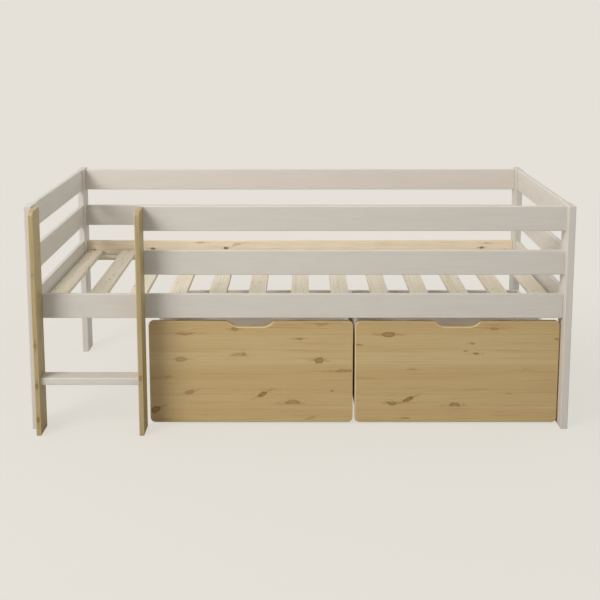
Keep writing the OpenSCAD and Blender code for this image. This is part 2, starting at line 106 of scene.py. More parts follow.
class Bench:
    """A node tree being wired, with short ways to add nodes and join them."""

    def __init__(self, tree: Tree) -> None:
        """Takes the shader or geometry tree to wire."""
        self.tree = tree

    def join(self, value: object, socket: Socket) -> None:
        """Links a socket to an input, or writes a plain value on it.

        Args:
            value: output socket, node, plain value, or None to leave the input alone.
            socket: the input.
        """
        if isinstance(value, Node):
            value = value.outputs[0]
        if isinstance(value, Socket):
            self.tree.links.new(value, socket)
        elif value is not None:
            socket.default_value = value

    def add(self, kind: str, *inputs: object, **settings: object) -> Node:
        """Adds a node.

        Args:
            kind: Blender's name of the node type.
            inputs: what goes on its inputs, in order.
            settings: its own settings by name.

        Returns:
            The node.
        """
        node = self.tree.nodes.new(kind)
        for name, value in settings.items():
            setattr(node, name, value)
        for value, socket in zip(inputs, node.inputs):
            self.join(value, socket)
        return node

    def put(self, node: Node, **named: object) -> Node:
        """Writes inputs by name, with _ for a space.

        Args:
            node: the node.
            named: values or sockets by input name.

        Returns:
            The same node.
        """
        for name, value in named.items():
            self.join(value, node.inputs[name.replace("_", " ")])
        return node

    def math(self, operation: str, *values: object) -> Socket:
        """One number worked out from others by a Math node."""
        return self.add("ShaderNodeMath", *values, operation=operation).outputs[0]

    def plus(self, first: object, second: object) -> Socket:
        """The sum of two numbers."""
        return self.math("ADD", first, second)

    def times(self, first: object, second: object) -> Socket:
        """The product of two numbers."""
        return self.math("MULTIPLY", first, second)

    def times_plus(self, first: object, second: object, third: object) -> Socket:
        """The product of two numbers, with a third added."""
        return self.math("MULTIPLY_ADD", first, second, third)

    def vector(self, operation: str, *values: object) -> Socket:
        """A vector worked out from others, or a number where the operation gives one."""
        node = self.add("ShaderNodeVectorMath", *values, operation=operation)
        return node.outputs[1 if operation in ("DOT_PRODUCT", "LENGTH") else 0]

    def parts(self, value: object) -> list[Socket]:
        """The three numbers of a vector."""
        return list(self.add("ShaderNodeSeparateXYZ", value).outputs)

    def gather(self, x: object, y: object, z: object) -> Socket:
        """A vector from three numbers."""
        return self.add("ShaderNodeCombineXYZ", x, y, z).outputs[0]

    def grain(self) -> Socket:
        """A point's place along, across and through its board, in metres."""
        return self.add("ShaderNodeAttribute", attribute_name="grain").outputs["Vector"]

    def place(self) -> Socket:
        """A point's place in the bed's own frame, in metres."""
        return self.add("ShaderNodeTexCoord").outputs["Object"]

    def noise(self, place: object, scale: Triple, detail: float = 2.0, rough: float = 0.5,
            output: str = "Fac") -> Socket:
        """Smooth noise around 0.5, stretched as asked.

        Args:
            place: where it is read, in metres.
            scale: how fast it changes along each axis, per metre.
            detail: how many finer layers it has.
            rough: how strong the finer layers are.
            output: Fac for one number, Color for three.

        Returns:
            The value.
        """
        at = self.vector("MULTIPLY", place, scale)
        node = self.add("ShaderNodeTexNoise", noise_dimensions="3D")
        return self.put(node, Vector=at, Scale=1.0, Detail=detail, Roughness=rough).outputs[output]

    def blend(self, share: object, first: object, second: object) -> Socket:
        """Two colours mixed.

        Args:
            share: how much of the second.
            first: first colour.
            second: second colour.

        Returns:
            The mixed colour.
        """
        node = self.add("ShaderNodeMix", data_type="RGBA", blend_type="MIX", clamp_factor=True)
        for value, index in ((share, 0), (first, 6), (second, 7)):
            self.join(value, node.inputs[index])
        return node.outputs[2]

    def tint(self, share: object, first: Triple, second: Triple) -> Socket:
        """Two colours written 0 to 255, mixed."""
        return self.blend(share, rgb(*first), rgb(*second))

    def ease(self, value: object, low: float, high: float, to_low: float = 0.0,
            to_high: float = 1.0) -> Socket:
        """A smooth step, from to_low where the value is low to to_high where it is high."""
        return self.add("ShaderNodeMapRange", value, low, high, to_low, to_high,
            interpolation_type="SMOOTHSTEP").outputs[0]

    def bump(self, shader: Node, height: object, depth: float, strength: float) -> None:
        """Gives a surface a fine relief.

        Args:
            shader: the surface shader.
            height: the relief, 0 to 1.
            depth: how deep it is, in metres.
            strength: how much of it shows.
        """
        relief = self.put(self.add("ShaderNodeBump"), Strength=strength, Distance=depth, Height=height)
        self.put(shader, Normal=relief)

    def store(self, shape: object, name: str, value: object, kind: str = "FLOAT_VECTOR",
            domain: str = "POINT") -> Node:
        """Writes an attribute on geometry."""
        return self.add("GeometryNodeStoreNamedAttribute", shape, None, name, value,
            data_type=kind, domain=domain)

    def read(self, name: str) -> Socket:
        """Reads a vector attribute of geometry."""
        return self.add("GeometryNodeInputNamedAttribute", name, data_type="FLOAT_VECTOR").outputs[0]

    def lift(self, shape: object, up: object) -> Node:
        """Geometry moved along Z."""
        return self.add("GeometryNodeTransform", shape, self.gather(0.0, 0.0, up))


def rgb(red: float, green: float, blue: float) -> tuple[float, float, float, float]:
    """A colour written 0 to 255, as Blender's own linear colour.

    Args:
        red: red.
        green: green.
        blue: blue.

    Returns:
        Linear red, green, blue and 1.
    """
    def linear(v: float) -> float:
        """One channel made linear."""
        v /= 255
        return v / 12.92 if v <= 0.04045 else ((v + 0.055) / 1.055) ** 2.4
    return (linear(red), linear(green), linear(blue), 1.0)


# ---------------------------------------------------------------- finishes

@dataclass(frozen=True)
class Finish:
    """What every finish has."""

    name: str
    slot: str

    def start(self, roughness: float, metallic: float = 0.0) -> tuple[Material, Bench, Node]:
        """A new material with its surface shader.

        Args:
            roughness: the shader's own roughness.
            metallic: 1 for bare metal.

        Returns:
            The material, its bench and the shader.
        """
        material = bpy.data.materials.new(self.name)
        material.use_nodes = True
        bench = Bench(material.node_tree)
        shader = bench.put(bench.tree.nodes["Principled BSDF"], Roughness=roughness, Metallic=metallic)
        return material, bench, shader

    def make(self) -> Material:
        """The material; each finish has its own."""
        raise NotImplementedError


@dataclass(frozen=True)
class Paint(Finish):
    """Satin paint on pine: the brush lines follow the grain and the wood shows faintly."""

    colour: Triple = (206, 199, 188)
    deep: Triple = (199, 192, 181)
    gloss: float = 0.46
    brush: Triple = (5, 210, 210)
    mottle: Triple = (7, 26, 26)
    wood: Triple = (1.1, 30, 30)
    brush_share: float = 0.6
    mottle_share: float = 0.34
    relief: float = 0.0003
    relief_shown: float = 0.12

    def make(self) -> Material:
        """The paint, read from the board's own grain attribute.

        Returns:
            The material.
        """
        material, bench, shader = self.start(self.gloss)
        place = bench.grain()
        brushed = bench.noise(place, self.brush, 4.0, 0.6)
        mottled = bench.noise(place, self.mottle, 3.0, 0.6)
        wood = bench.noise(place, self.wood)
        patches = bench.ease(mottled, 0.36, 0.66, 0.0, self.mottle_share)
        share = bench.plus(bench.ease(brushed, 0.35, 0.68, 0.0, self.brush_share), patches)
        bench.put(shader, Base_Color=bench.tint(share, self.colour, self.deep))
        bench.put(shader, Roughness=bench.ease(mottled, 0.3, 0.7, self.gloss - 0.05, self.gloss + 0.08))
        bench.bump(shader, bench.plus(brushed, bench.times(wood, 1.4)), self.relief, self.relief_shown)
        return material


@dataclass(frozen=True)
class Knot:
    """One knot, placed along and across the board's grain, in millimetres, its tilt in degrees.

    A reach of 0 lets it go right through the board; otherwise it ends that far from the middle.
    """

    along: float
    across: float
    length: float = 9.0
    height: float = 6.0
    dark: float = 0.8
    cut: Cut = Cut.WHOLE
    tilt: float = 0.0
    reach: float = 0.0


@dataclass(frozen=True)
class Pine(Finish):
    """Pine with growth rings that bend round its knots, in glued staves or as one board."""

    pale: Triple = (206, 184, 136)
    deep: Triple = (178, 148, 96)
    heart: Triple = (122, 74, 34)
    lines: float = 150.0
    wander: float = 11.0
    figure: float = 0.3
    streaks: float = 0.5
    stave: float = 0.0
    stave_from: float = 0.0
    scattered: float = 0.0
    crowd: float = 1.0
    shift: float = 0.0
    gloss: float = 0.42
    coat: float = 0.0
    knots: tuple[Knot, ...] = ()
    bends: Triple = (0.7, 7, 7)
    broad: Triple = (0.9, 17, 17)
    narrow: Triple = (3.2, 100, 100)
    fibres: Triple = (9, 620, 620)
    knot_cells: Triple = (6.5, 17, 0.0)
    fibre_share: float = 0.22
    ring_edge: float = 2.2
    glue_dark: float = 0.16
    relief: float = 0.0003
    relief_shown: float = 0.14

    def stave_shift(self, bench: Bench, place: object) -> tuple[object, object, object]:
        """Each glued stave comes from another place in the tree.

        Args:
            bench: the material's bench.
            place: the grain coordinate.

        Returns:
            The moved coordinate, the stave's own tone and the closeness to a glue line.
        """
        if not self.stave:
            return bench.vector("ADD", place, tuple(self.shift * v for v in NEXT_TREE)), None, None
        across = bench.math("SUBTRACT", bench.parts(place)[1], self.stave_from * MM)
        turns = bench.math("DIVIDE", across, self.stave * MM)
        chance = bench.add("ShaderNodeTexWhiteNoise", noise_dimensions="1D")
        bench.put(chance, W=bench.math("FLOOR", turns))
        moved = bench.vector("MULTIPLY", chance.outputs["Color"], (3.1, 0.35, 1.7))
        inside = bench.math("ABSOLUTE", bench.math("SUBTRACT", bench.math("FRACT", turns), 0.5))
        return bench.vector("ADD", place, moved), chance.outputs["Value"], bench.ease(inside, 0.482, 0.498)

    def one_knot(self, bench: Bench, flat: object, wobble: object, knot: Knot) -> tuple[object, object]:
        """One knot's dark heart and its pull on the rings.

        Args:
            bench: the material's bench.
            flat: place along, across and through.
            wobble: small noise that keeps its outline uneven.
            knot: the knot.

        Returns:
            How dark it is there, and how far the rings are lifted.
        """
        off = bench.vector("SUBTRACT", flat, (knot.along * MM, knot.across * MM, 0.0))
        turn = math.radians(knot.tilt)
        long, high = 1 / (knot.length * MM), 1 / (knot.height * MM)
        u = bench.vector("DOT_PRODUCT", off, (math.cos(turn) * long, math.sin(turn) * long, 0.0))
        v = bench.vector("DOT_PRODUCT", off, (-math.sin(turn) * high, math.cos(turn) * high, 0.0))
        u, v = bench.times(u, u), bench.times(v, v)
        deep: object = 0.0
        if knot.reach:
            w = bench.vector("DOT_PRODUCT", off, (0.0, 0.0, 1 / (knot.reach * MM)))
            deep = bench.times(w, w)
        square = bench.plus(bench.plus(u, v), deep)
        # a disc that is dark from its rim to its core, and a little paler in the middle
        rim, core = 1.4, 0.8
        rough = bench.times_plus(wobble, 0.9, square)
        disc = bench.ease(rough, rim, core, 0.0, min(1.0, 1.2 * knot.dark))
        dark = bench.times(disc, bench.ease(rough, 0.0, core, 0.72, 1.0))
        # faint tails along the grain
        slim = bench.times_plus(u, 0.1, bench.times_plus(v, 1.6, deep))
        tails = bench.ease(bench.times_plus(wobble, 2.0, slim), 1.1, 0.0, 0.0, 0.5 * knot.dark)
        dark = bench.math("MAXIMUM", dark, tails)
        if knot.cut is not Cut.WHOLE:
            side = bench.times(bench.vector("DOT_PRODUCT", off, (0.0, high, 0.0)), float(knot.cut.value))
            dark = bench.times(dark, bench.ease(side, -0.08, 0.04))
        # the pull on the rings fades with the distance
        spread = bench.times_plus(square, 0.16, 1.0)
        return dark, bench.times(bench.math("POWER", spread, -2.0), knot.height * 0.2)

    def knot_field(self, bench: Bench, place: object, moved: object) -> tuple[object, object]:
        """The knots' pull on the rings and their dark hearts.

        Args:
            bench: the material's bench.
            place: the grain coordinate.
            moved: the same, moved to this board's place in the tree.

        Returns:
            How far the rings are lifted, and how dark the wood is.
        """
        lift: object = 0.0
        dark: object = 0.0
        if self.knots:
            wobble = bench.math("SUBTRACT", bench.noise(place, (70, 110, 30)), 0.5)
            uneven = bench.noise(place, (60, 90, 30), 3.0, 0.6, "Color")
            bent = bench.vector("SUBTRACT", uneven, (0.5, 0.5, 0.5))
            flat = bench.vector("ADD", place, bench.vector("MULTIPLY", bent, (0.016, 0.010, 0.0)))
            for knot in self.knots:
                heart, pull = self.one_knot(bench, flat, wobble, knot)
                dark = bench.math("MAXIMUM", dark, heart)
                lift = bench.plus(lift, pull)
        if self.scattered:
            cells = bench.add("ShaderNodeTexVoronoi", voronoi_dimensions="2D")
            spots = bench.vector("MULTIPLY", moved, self.knot_cells)
            bench.put(cells, Vector=spots, Scale=self.crowd, Randomness=1.0)
            smallest, largest = 0.05, 0.14
            kinds = bench.parts(cells.outputs["Color"])
            chosen = bench.ease(kinds[0], 1 - self.scattered, 1.01 - self.scattered)
            size = bench.ease(kinds[1], 0.0, 1.0, smallest, largest)
            near = bench.math("DIVIDE", cells.outputs["Distance"], size)
            heart = bench.times(bench.ease(near, 1.2, 0.5, 0.0, 0.75), chosen)
            dark = bench.math("MAXIMUM", dark, heart)
            lift = bench.times_plus(bench.ease(near, 4.5, 0.0, 0.0, 2.2), chosen, lift)
        return lift, dark

    def make(self) -> Material:
        """The wood, read from the board's own grain attribute.

        Returns:
            The material.
        """
        material, bench, shader = self.start(self.gloss)
        place = bench.grain()
        moved, tone, line = self.stave_shift(bench, place)
        lift, dark = self.knot_field(bench, place, moved)
        wander = bench.times(bench.noise(moved, self.bends, 1.5, 0.4), self.wander)
        part = bench.parts(moved)
        straight = bench.times(bench.times_plus(part[2], 0.6, part[1]), self.lines)
        turns = bench.plus(bench.plus(straight, wander), lift)
        wave = bench.math("COSINE", bench.times(turns, 2 * math.pi))
        late = bench.math("POWER", bench.times_plus(wave, 0.5, 0.5), self.ring_edge)
        broad = bench.noise(moved, self.broad)
        narrow = bench.noise(moved, self.narrow, 3.0, 0.6)
        fibre = bench.noise(moved, self.fibres, 2.5, 0.6)
        share = bench.ease(fibre, 0.3, 0.75, 0.0, self.fibre_share)
        share = bench.plus(bench.times(late, self.figure), share)
        share = bench.times_plus(bench.ease(narrow, 0.5, 0.74), self.streaks, share)
        share = bench.times_plus(bench.ease(broad, 0.34, 0.7), self.streaks * 0.5, share)
        if tone is not None:
            share = bench.plus(share, bench.ease(tone, 0.0, 1.0, -0.08, 0.14))
        colour = bench.tint(share, self.pale, self.deep)
        if line is not None:
            colour = bench.blend(bench.times(line, self.glue_dark), colour, rgb(*self.heart))
        near = bench.times(bench.ease(lift, 0.2, 2.0), 0.1)
        colour = bench.blend(bench.math("MAXIMUM", dark, bench.times(near, late)), colour, rgb(*self.heart))
        bench.put(shader, Base_Color=colour)
        bench.put(shader, Roughness=bench.ease(fibre, 0.3, 0.7, self.gloss - 0.04, self.gloss + 0.1))
        if self.coat:
            bench.put(shader, Coat_Weight=self.coat, Coat_Roughness=0.28)
        bench.bump(shader, bench.plus(late, fibre), self.relief, self.relief_shown)
        return material


@dataclass(frozen=True)
class Metal(Finish):
    """Plated or bare steel with fine rolling lines."""

    colour: Triple = (190, 192, 195)
    dull: Triple = (150, 152, 158)
    gloss: float = 0.34
    clouds: Triple = (130, 130, 130)
    rolling: Triple = (900, 60, 900)
    relief: float = 0.0001
    relief_shown: float = 0.2

    def make(self) -> Material:
        """The metal.

        Returns:
            The material.
        """
        material, bench, shader = self.start(self.gloss, 1.0)
        place = bench.place()
        cloud = bench.noise(place, self.clouds, 3.0)
        lines = bench.noise(place, self.rolling)
        bench.put(shader, Base_Color=bench.tint(bench.ease(cloud, 0.35, 0.7), self.colour, self.dull))
        bench.put(shader, Roughness=bench.ease(lines, 0.3, 0.7, self.gloss - 0.08, self.gloss + 0.14))
        bench.bump(shader, lines, self.relief, self.relief_shown)
        return material


@dataclass(frozen=True)
class Plastic(Finish):
    """Moulded plastic with a fine spark-eroded grain and light scuffs."""

    colour: Triple = (120, 120, 122)
    worn: Triple = (148, 147, 145)
    gloss: float = 0.5
    eroded: Triple = (1500, 1500, 1500)
    scuffs: Triple = (90, 260, 90)
    relief: float = 0.0001
    relief_shown: float = 0.15

    def make(self) -> Material:
        """The plastic.

        Returns:
            The material.
        """
        material, bench, shader = self.start(self.gloss)
        place = bench.place()
        fine = bench.noise(place, self.eroded)
        scuff = bench.noise(place, self.scuffs, 4.0, 0.7)
        bench.put(shader, Base_Color=bench.tint(bench.ease(scuff, 0.52, 0.74), self.colour, self.worn))
        bench.put(shader, Roughness=bench.ease(scuff, 0.3, 0.7, self.gloss - 0.08, self.gloss + 0.1))
        bench.bump(shader, fine, self.relief, self.relief_shown)
        return material


@dataclass(frozen=True)
class Tape(Finish):
    """Woven tape: threads across and along its length."""

    colour: Triple = (234, 229, 218)
    shade: Triple = (204, 197, 186)
    thread: float = 1.6 * MM
    gloss: float = 0.85
    relief: float = 0.0004
    relief_shown: float = 0.6

    def make(self) -> Material:
        """The woven tape.

        Returns:
            The material.
        """
        material, bench, shader = self.start(self.gloss)
        place = bench.parts(bench.place())
        turn = 2 * math.pi / self.thread
        warp, weft = (bench.math("SINE", bench.times(place[axis], turn)) for axis in (1, 0))
        weave = bench.times_plus(bench.times(warp, weft), 0.5, 0.5)
        bench.put(shader, Base_Color=bench.tint(weave, self.shade, self.colour))
        bench.bump(shader, weave, self.relief, self.relief_shown)
        return material


@cache
def material_of(finish: Finish) -> Material:
    """The material of a finish, made once."""
    return finish.make()


# ---------------------------------------------------------------- the finishes of this bed

PAINT = Paint("greige paint", "paint")
# a lighter copy of the paint for the rounded edges of the rails and the step: a painted highlight
PAINT_HIGHLIGHT_EDGES = Paint("greige paint, painted edge highlight", "paint", (214, 206, 195), (208, 200, 189))
PAINT_BACK = Paint("greige paint, back top rail", "paint", (220, 211, 201), (213, 204, 194))
BOX_BOARD = Paint("taupe box board", "box_board", (233, 225, 213), (224, 216, 204), gloss=0.5)
ZINC = Metal("zinc plate", "zinc")
CASTOR_STEEL = Metal("castor steel", "castor_steel", (176, 178, 182), (140, 142, 148))
WHEEL_PLASTIC = Plastic("grey wheel plastic", "wheel_plastic")
BLACK_PLASTIC = Plastic("black plastic", "black_plastic", (34, 34, 36), (60, 60, 62))
SLAT_TAPE = Tape("woven slat tape", "raw_pine")

RAW_PINE = Pine("raw pine", "raw_pine", (232, 222, 202), (203, 182, 148), (172, 118, 64),
    lines=90.0, wander=9.0, figure=0.2, streaks=0.36, scattered=0.42, crowd=2.2, gloss=0.6)
BACK_PINE = Pine("raw pine, back rail", "raw_pine", (238, 224, 201), (216, 196, 164), (118, 60, 32),
    lines=110.0, figure=0.32, gloss=0.6, knots=(
        Knot(-698, 9, 10, 6, 0.85), Knot(-470, 37, 18, 4, 0.4), Knot(-351, 11, 10, 6, 0.85),
        Knot(-300, 28, 24, 6, 0.3, tilt=12), Knot(860, 14, 10, 5, 0.9), Knot(887, 35, 18, 4, 0.3)))

LADDER_KNOTS = {
    "left": (
        Knot(-80, -47, 9, 14, 0.6, reach=6), Knot(-236, -47, 10, 14, 0.7, reach=6),
        Knot(-370, -47, 12, 14, 0.65, reach=6), Knot(194, -47, 7, 10, 0.4, reach=5),
        Knot(110, -3, 12, 9, 0.55), Knot(256, 14, 9, 6, 0.4), Knot(-47, -7, 13, 6, 0.5)),
    "right": (Knot(-205, -38, 10, 16, 0.5), Knot(150, 6, 11, 7, 0.4))}
LADDER_PINE = {
    end: Pine(f"golden pine, {end} ladder post", "pine", (175, 155, 111), (151, 129, 84), (110, 82, 26),
        figure=0.34, shift=shift, coat=0.1, knots=LADDER_KNOTS[end])
    for end, shift in zip(ENDS, (2.2, 4.7))}

FRONT_KNOTS = {
    Side.LEFT: (
        Knot(-254, 159, 34, 10, 0.50, Cut.ABOVE), Knot(-61, 173, 14, 8, 0.60),
        Knot(-48, 64, 28, 13, 0.42, Cut.BELOW), Knot(-28, 71, 7, 7, 0.60), Knot(-272, 52, 21, 9, 0.50),
        Knot(-321, -18, 13, 5, 0.35), Knot(-240, -81, 19, 8, 0.55, tilt=15),
        Knot(-374, -152, 21, 12, 0.75, tilt=25), Knot(269, 197, 28, 10, 0.40, Cut.ABOVE),
        Knot(185, 134, 15, 4, 0.60), Knot(264, 47, 17, 11, 0.70), Knot(362, 1, 39, 10, 0.55, Cut.BELOW),
        Knot(45, -89, 19, 8, 0.80, tilt=28), Knot(160, -130, 30, 17, 0.55, Cut.BELOW),
        Knot(316, -76, 4, 3.6, 0.80), Knot(231, -187, 23, 5, 0.30, tilt=20)),
    Side.RIGHT: (
        Knot(-265, 151, 25, 10, 0.70), Knot(-383, 107, 11, 7, 0.75, Cut.BELOW),
        Knot(-175, 9, 21, 6, 0.50, Cut.BELOW), Knot(-185, -110, 22, 8, 0.80, tilt=25),
        Knot(-249, -120, 19, 15, 0.70, Cut.ABOVE), Knot(-4, -139, 22, 16, 0.60, Cut.BELOW),
        Knot(-198, -187, 16, 3.4, 0.50), Knot(56, 115, 8, 3.6, 0.70), Knot(33, 85, 5, 3.9, 0.75),
        Knot(74, 74, 12, 3.6, 0.80), Knot(141, 178, 19, 10, 0.50, Cut.ABOVE), Knot(386, 133, 8, 4, 0.60),
        Knot(275, 11, 19, 2.3, 0.35), Knot(208, -87, 11, 3.4, 0.45))}
FRONT_PINE = {
    side: Pine(f"golden pine, {side.value} front", "pine", (196, 171, 124), (175, 141, 82), (134, 94, 30),
        figure=0.2, streaks=0.46, stave=60.0, stave_from=-210.0, coat=0.1, knots=FRONT_KNOTS[side])
    for side in Side}
# a lighter pine for the rounded edges of the drawer fronts: a painted highlight
PINE_HIGHLIGHT_EDGES = Pine("golden pine, painted edge highlight", "pine", (212, 186, 136), (196, 169, 118), gloss=0.4, coat=0.1)
# a lighter pine for the rounded edges of the ladder posts: a painted highlight
LADDER_HIGHLIGHT_EDGES = Pine("golden pine, painted ladder edge highlight", "pine", (194, 173, 125), (176, 154, 106), gloss=0.4,
    coat=0.1)


# ---------------------------------------------------------------- making pieces

def put_in(name: str, data: bpy.types.ID) -> Piece:
    """Puts a mesh, a lamp or a camera into the scene, at the origin.

    Args:
        name: the object's name.
        data: what it holds.

    Returns:
        The object.
    """
    piece = bpy.data.objects.new(name, data)
    bpy.context.scene.collection.objects.link(piece)
    return piece


def mark_grain(mesh: Mesh, grain: Grain, centre: Vector, shift: float = 0.0) -> None:
    """Writes each point's place along, across and through the board.

    Args:
        mesh: the board.
        grain: which way it runs.
        centre: the point that counts as zero.
        shift: how far the pattern is moved, so that no two boards are alike.
    """
    points = np.array([v.co for v in mesh.vertices]) - np.array(centre)
    turned = points @ np.array(grain.value, float).T + shift * np.array(NEXT_TREE)
    layer = mesh.attributes.new("grain", "FLOAT_VECTOR", "POINT")
    layer.data.foreach_set("vector", turned.astype(np.float32).ravel())


def finish_piece(piece: Piece, finish: Finish, body: str, nodes: tuple[str, ...], ease: float = 0.0,
        rim: Finish | None = None) -> Piece:
    """Dresses a piece, rounds its marked edges and lets it ride on its body.

    Args:
        piece: the piece, its mesh in place.
        finish: what it is finished in.
        body: the body that it moves with.
        nodes: the CAD nodes that it stands for.
        ease: radius of its marked edges, in metres.
        rim: finish of the rounded edges, if it differs: a lighter copy that paints a highlight on them.

    Returns:
        The piece.
    """
    mesh = piece.data
    if not mesh.materials:
        mesh.materials.append(material_of(finish))
    mesh.shade_smooth()
    mesh.set_sharp_from_angle(angle=SHARP)
    if ease:
        round_off = piece.modifiers.new("eased edges", "BEVEL")
        round_off.limit_method = "WEIGHT"
        round_off.width = ease
        round_off.segments = 3
        round_off.use_clamp_overlap = False
        round_off.miter_outer = "MITER_SHARP"
        if rim:
            # the rounded edges get the lighter rim finish, a painted highlight
            mesh.materials.append(material_of(rim))
            round_off.material = len(mesh.materials) - 1
    weighted = piece.modifiers.new("flat faces stay flat", "WEIGHTED_NORMAL")
    weighted.keep_sharp = True
    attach(piece, body)
    if nodes:
        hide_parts(*nodes)
    return piece


def plain_mesh(work: Shape, name: str) -> Mesh:
    """Ends the work on a shape and keeps it as a mesh.

    Args:
        work: the shape.
        name: the mesh's name.

    Returns:
        The mesh.
    """
    mesh = bpy.data.meshes.new(name)
    work.to_mesh(mesh)
    work.free()
    return mesh


def on_box_edge(edge: bmesh.types.BMEdge, low: Vector, high: Vector) -> bool:
    """Whether an edge lies on one of the twelve edges of a box.

    Args:
        edge: the edge.
        low: the box's low corner.
        high: its high corner.

    Returns:
        True if it does.
    """
    sides = 0
    for axis in range(3):
        for place in (low[axis], high[axis]):
            sides += all(abs(vert.co[axis] - place) < 1e-5 for vert in edge.verts)
    return sides == 2


def clear_rims(work: Shape, low: Vector, high: Vector, margin: float) -> None:
    """Gives each side of a drilled board a plain border, so that no seam runs into its corners.

    Args:
        work: the board.
        low: its low corner.
        high: its high corner.
        margin: width of the border, in metres.
    """
    for axis in range(3):
        side = Vector([float(i == axis) for i in range(3)])
        for place in (low + side * margin, high - side * margin):
            whole = work.verts[:] + work.edges[:] + work.faces[:]
            bmesh.ops.bisect_plane(work, geom=whole, dist=1e-7, plane_co=place, plane_no=side)
    seams = []
    for edge in work.edges:
        if len(edge.link_faces) != 2 or edge.calc_face_angle() > math.radians(0.5):
            continue
        along = (edge.verts[0].co - edge.verts[1].co).normalized()
        middle = (edge.verts[0].co + edge.verts[1].co) / 2
        normal = edge.link_faces[0].normal
        flat = [i for i in range(3) if abs(normal[i]) < 0.5]
        near = any(min(middle[i] - low[i], high[i] - middle[i]) < margin - 1e-6 for i in flat)
        if near and max(abs(c) for c in along) < 0.9999:
            seams.append(edge)
    bmesh.ops.dissolve_edges(work, edges=seams, use_verts=False)


def copy_node(name: str, node: str, finish: Finish, body: str, grain: Grain = Grain.X, ease: float = 0.0,
        shift: float = 0.0) -> Piece:
    """A CAD piece copied, its triangles joined into clean faces, its edges eased.

    Args:
        name: the new piece's name.
        node: the CAD node that it stands for.
        finish: what it is finished in.
        body: the body that it moves with.
        grain: which way its grain runs.
        ease: radius of its square edges, in metres. Holes and grooves aren't eased.
        shift: moves the pattern of its finish.

    Returns:
        The piece.
    """
    work = bmesh.new()
    work.from_mesh(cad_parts[node].data)
    bmesh.ops.remove_doubles(work, verts=work.verts[:], dist=WELD)
    bmesh.ops.dissolve_limit(work, angle_limit=math.radians(0.4), verts=work.verts[:], edges=work.edges[:])
    low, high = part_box(node)
    if ease:
        clear_rims(work, low, high, 1.3 * ease)
        layer = work.edges.layers.float.new("bevel_weight_edge")
        for edge in work.edges:
            edge[layer] = float(on_box_edge(edge, low, high))
    mesh = plain_mesh(work, name)
    mark_grain(mesh, grain, (low + high) / 2, shift)
    return finish_piece(put_in(name, mesh), finish, body, (node,), ease)


def plate(outline: list[Point], thick: float, upright: Grain, low: Vector) -> Mesh:
    """A board cut to an outline.

    Args:
        outline: its points in order, in metres.
        thick: its thickness.
        upright: Grain.X for an outline in X and Z, Grain.Z for one in Y and Z.
        low: the corner that the outline and the thickness are counted from.

    Returns:
        The mesh, its rims marked for easing.
    """
    work = bmesh.new()
    rims = []
    for depth in (0.0, thick):
        corners = [(a, depth, b) if upright is Grain.X else (depth, a, b) for a, b in outline]
        rims.append([work.verts.new(low + Vector(corner)) for corner in corners])
    work.faces.new(rims[0])
    work.faces.new(rims[1][::-1])
    for i, after in enumerate((*range(1, len(outline)), 0)):
        work.faces.new((rims[0][i], rims[1][i], rims[1][after], rims[0][after]))
    bmesh.ops.recalc_face_normals(work, faces=work.faces[:])
    layer = work.edges.layers.float.new("bevel_weight_edge")
    for edge in work.edges:
        edge[layer] = float(edge.calc_face_angle() > math.radians(50))
    return plain_mesh(work, "plate")


def arc(centre: Point, radius: float, start: float, steps: int) -> list[Point]:
    """A quarter turn of an outline, anticlockwise.

    Args:
        centre: middle of the turn.
        radius: its radius.
        start: angle of its first point, in degrees.
        steps: number of straight pieces.

    Returns:
        The points.
    """
    turns = [math.radians(start + 90 * i / steps) for i in range(steps + 1)]
    return [(centre[0] + radius * math.cos(t), centre[1] + radius * math.sin(t)) for t in turns]


# ---------------------------------------------------------------- geometry nodes

def new_tree(name: str, **inputs: str) -> tuple[Bench, dict[str, Socket], Node]:
    """A geometry tree with named inputs, the geometry first.

    Args:
        name: its name.
        inputs: socket types by input name, with _ for a space.

    Returns:
        The tree's bench, its inputs' sockets by name, and its output node.
    """
    tree = bpy.data.node_groups.new(name, "GeometryNodeTree")
    for label, kind in {"Geometry": "Geometry", **inputs}.items():
        tree.interface.new_socket(label.replace("_", " "), in_out="INPUT", socket_type="NodeSocket" + kind)
    tree.interface.new_socket("Geometry", in_out="OUTPUT", socket_type="NodeSocketGeometry")
    bench = Bench(tree)
    given = {socket.name: socket for socket in bench.add("NodeGroupInput").outputs if socket.name}
    return bench, given, bench.add("NodeGroupOutput")


def run_tree(piece: Piece, tree: Tree, **values: object) -> None:
    """Runs a tree on a piece and keeps its result as a plain mesh.

    Args:
        piece: the object that the tree starts from.
        tree: the tree.
        values: what goes on its inputs, by name, with _ for a space.
    """
    modifier = piece.modifiers.new(tree.name, "NODES")
    modifier.node_group = tree
    names = {item.name: item.identifier for item in tree.interface.items_tree if item.in_out == "INPUT"}
    for name, value in values.items():
        modifier[names[name.replace("_", " ")]] = value
    graph = bpy.context.evaluated_depsgraph_get()
    mesh = bpy.data.meshes.new_from_object(piece.evaluated_get(graph), depsgraph=graph)
    piece.modifiers.remove(modifier)
    piece.data = mesh


